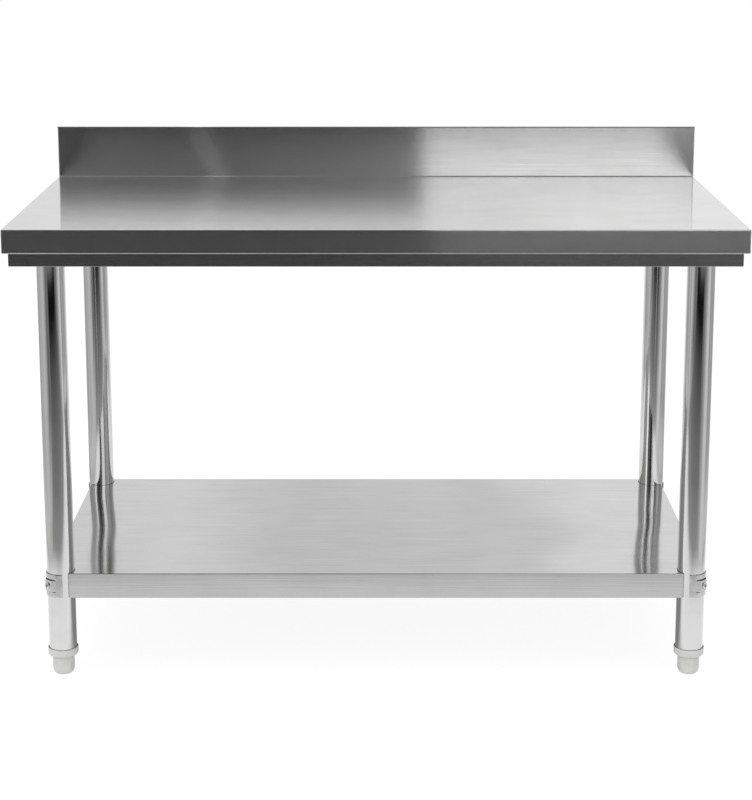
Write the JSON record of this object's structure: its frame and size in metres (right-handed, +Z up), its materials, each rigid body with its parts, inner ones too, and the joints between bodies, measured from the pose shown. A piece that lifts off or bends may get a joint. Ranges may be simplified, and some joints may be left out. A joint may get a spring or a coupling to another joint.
{
  "type": "stainless work table",
  "caption": "Stainless steel kitchen work table with a rear upstand, a recessed channel frame, round tube legs, a clamped undershelf and screw-out levelling feet.",
  "frame": {"origin": "on the floor, at the centre of the whole table's footprint, feet fully screwed in", "axes": "+Z up, +X along the table's length to the worker's right, -Y towards the worker, the upstand along +Y"},
  "size_m": [1.4, 0.7, 1.01],
  "materials": {
    "sheet_steel": "fine lengthwise brushing, satin, on folded 1.0 to 1.2 mm stainless sheet",
    "tube_steel": "bright polished stainless tube",
    "frame_steel": "satin stainless, folded channels and pressed plates",
    "fastener_steel": "bright stainless screws, nuts and threaded studs",
    "foot_plastic": "light grey moulded plastic, satin",
    "core_board": "moisture-proof board, dark laminate"
  },
  "bodies": {
    "table": {"worktop": "sheet_steel", "core_board": "core_board", "front_rail": "frame_steel", "rear_rail": "frame_steel", "left_rail": "frame_steel", "right_rail": "frame_steel", "cross_channel_1": "frame_steel", "cross_channel_2": "frame_steel", "cross_channel_3": "frame_steel", "undershelf": "sheet_steel", "shelf_channel_front": "frame_steel", "shelf_channel_rear": "frame_steel", "leg_tube_front_left": "tube_steel", "leg_tube_front_right": "tube_steel", "leg_tube_rear_right": "tube_steel", "leg_tube_rear_left": "tube_steel", "leg_socket_front_left": "frame_steel", "leg_socket_front_right": "frame_steel", "leg_socket_rear_right": "frame_steel", "leg_socket_rear_left": "frame_steel", "socket_screw_front_left": "fastener_steel", "socket_screw_front_right": "fastener_steel", "socket_screw_rear_right": "fastener_steel", "socket_screw_rear_left": "fastener_steel", "corner_bracket_front_left": "frame_steel", "corner_bracket_front_right": "frame_steel", "corner_bracket_rear_right": "frame_steel", "corner_bracket_rear_left": "frame_steel", "clamp_saddle_front_left": "frame_steel", "clamp_saddle_front_right": "frame_steel", "clamp_saddle_rear_right": "frame_steel", "clamp_saddle_rear_left": "frame_steel", "saddle_screw_front_left": "fastener_steel", "saddle_screw_front_right": "fastener_steel", "saddle_screw_rear_right": "fastener_steel", "saddle_screw_rear_left": "fastener_steel", "saddle_nut_front_left": "fastener_steel", "saddle_nut_front_right": "fastener_steel", "saddle_nut_rear_right": "fastener_steel", "saddle_nut_rear_left": "fastener_steel", "foot_collar_front_left": "foot_plastic", "foot_collar_front_right": "foot_plastic", "foot_collar_rear_right": "foot_plastic", "foot_collar_rear_left": "foot_plastic"},
    "stud_front_left": {"foot_stud_front_left": "fastener_steel"},
    "bullet_front_left": {"foot_bullet_front_left": "foot_plastic"},
    "stud_front_right": {"foot_stud_front_right": "fastener_steel"},
    "bullet_front_right": {"foot_bullet_front_right": "foot_plastic"},
    "stud_rear_right": {"foot_stud_rear_right": "fastener_steel"},
    "bullet_rear_right": {"foot_bullet_rear_right": "foot_plastic"},
    "stud_rear_left": {"foot_stud_rear_left": "fastener_steel"},
    "bullet_rear_left": {"foot_bullet_rear_left": "foot_plastic"}
  },
  "joints": [
    {"name": "foot_travel_front_left", "type": "slide", "parent": "table", "child": "stud_front_left", "axis": [0, 0, -1], "range_m": [0, 0.025]},
    {"name": "foot_turn_front_left", "type": "hinge", "parent": "stud_front_left", "child": "bullet_front_left", "pos_m": [-0.6185, -0.289, 0], "axis": [0, 0, -1], "range_deg": [0, 5142.86]},
    {"name": "foot_travel_front_right", "type": "slide", "parent": "table", "child": "stud_front_right", "axis": [0, 0, -1], "range_m": [0, 0.025]},
    {"name": "foot_turn_front_right", "type": "hinge", "parent": "stud_front_right", "child": "bullet_front_right", "pos_m": [0.6185, -0.289, 0], "axis": [0, 0, -1], "range_deg": [0, 5142.86]},
    {"name": "foot_travel_rear_right", "type": "slide", "parent": "table", "child": "stud_rear_right", "axis": [0, 0, -1], "range_m": [0, 0.025]},
    {"name": "foot_turn_rear_right", "type": "hinge", "parent": "stud_rear_right", "child": "bullet_rear_right", "pos_m": [0.6185, 0.289, 0], "axis": [0, 0, -1], "range_deg": [0, 5142.86]},
    {"name": "foot_travel_rear_left", "type": "slide", "parent": "table", "child": "stud_rear_left", "axis": [0, 0, -1], "range_m": [0, 0.025]},
    {"name": "foot_turn_rear_left", "type": "hinge", "parent": "stud_rear_left", "child": "bullet_rear_left", "pos_m": [-0.6185, 0.289, 0], "axis": [0, 0, -1], "range_deg": [0, 5142.86]}
  ],
  "couplings": [
    {"joint": "foot_turn_front_left", "follows": "foot_travel_front_left", "rad_per_m": 3590.4},
    {"joint": "foot_turn_front_right", "follows": "foot_travel_front_right", "rad_per_m": 3590.4},
    {"joint": "foot_turn_rear_right", "follows": "foot_travel_rear_right", "rad_per_m": 3590.4},
    {"joint": "foot_turn_rear_left", "follows": "foot_travel_rear_left", "rad_per_m": 3590.4}
  ]
}
